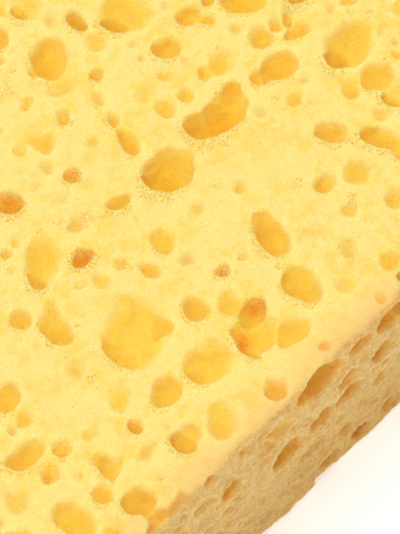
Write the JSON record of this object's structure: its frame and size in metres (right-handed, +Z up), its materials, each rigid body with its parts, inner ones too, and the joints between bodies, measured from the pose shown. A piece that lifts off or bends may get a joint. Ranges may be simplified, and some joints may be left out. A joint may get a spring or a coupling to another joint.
{
  "type": "large-pore foam sponge",
  "caption": "Rectangular block of soft yellow open-cell foam with large round pores on every face, used to dab on or wipe off paint and glaze.",
  "frame": {"origin": "middle of the bottom face, on the surface that the sponge lies on", "axes": "+X along the length, +Y along the width from the front long side to the back one, +Z up through the thickness"},
  "size_m": [0.19, 0.14, 0.05],
  "materials": {
    "foam": "matt open-cell polyurethane foam, pale yellow on the cut faces and golden inside the pores"
  },
  "bodies": {
    "root": {"foam_block": "foam"}
  },
  "joints": []
}
